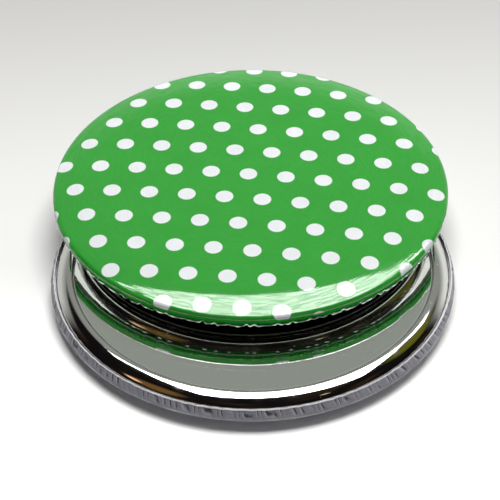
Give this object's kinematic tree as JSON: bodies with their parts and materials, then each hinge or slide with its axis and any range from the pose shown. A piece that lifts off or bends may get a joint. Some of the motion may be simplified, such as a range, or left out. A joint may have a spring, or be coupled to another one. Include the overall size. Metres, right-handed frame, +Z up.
{
  "type": "compact mirror",
  "caption": "Round pocket compact: a domed, film-covered lid with polka dots swings on an edge pin over a matching base, with a mirror in a bright collar inside each half.",
  "frame": {"origin": "centre of the flat on the base's crown, on the ground plane", "axes": "+Z up through the base's mirror, +Y towards where the lid stands back, +X towards the swivel pin"},
  "size_m": [0.0582, 0.0712, 0.0099],
  "materials": {
    "clear_film": "clear glossy polyester film",
    "plain_paper": "plain pale grey paper, pleated where it is tucked under",
    "dotted_paper": "paper printed green with white dots",
    "tinplate": "bare tinplate",
    "plate_steel": "pressed steel",
    "foam_pad": "adhesive foam",
    "silvering": "silvered coat with backing paint",
    "mirror_glass": "clear float glass with a seamed edge",
    "bright_collar": "bright plated steel",
    "bush_brass": "turned brass",
    "pin_steel": "turned steel"
  },
  "bodies": {
    "base": {"base_film": "clear_film", "base_paper": "plain_paper", "base_shell": "tinplate", "base_back_plate": "plate_steel", "base_mirror_pad": "foam_pad", "base_mirror_silvering": "silvering", "base_mirror_glass": "mirror_glass", "base_collar": "bright_collar", "base_bushing": "bush_brass", "spring_washer": "pin_steel", "stop_peg": "pin_steel"},
    "lid": {"lid_film": "clear_film", "lid_paper": "dotted_paper", "lid_shell": "tinplate", "lid_back_plate": "plate_steel", "lid_mirror_pad": "foam_pad", "lid_mirror_silvering": "silvering", "lid_mirror_glass": "mirror_glass", "lid_collar": "bright_collar", "lid_bushing": "bush_brass", "swivel_pin": "pin_steel", "pin_washer": "pin_steel", "stop_cam": "pin_steel"}
  },
  "joints": [
    {"name": "lid_swing", "type": "hinge", "parent": "base", "child": "lid", "pos_m": [0.02585, 0.00693, 0.0048], "axis": [0, 0, -1], "range_deg": [-28.5, 151.5]}
  ]
}
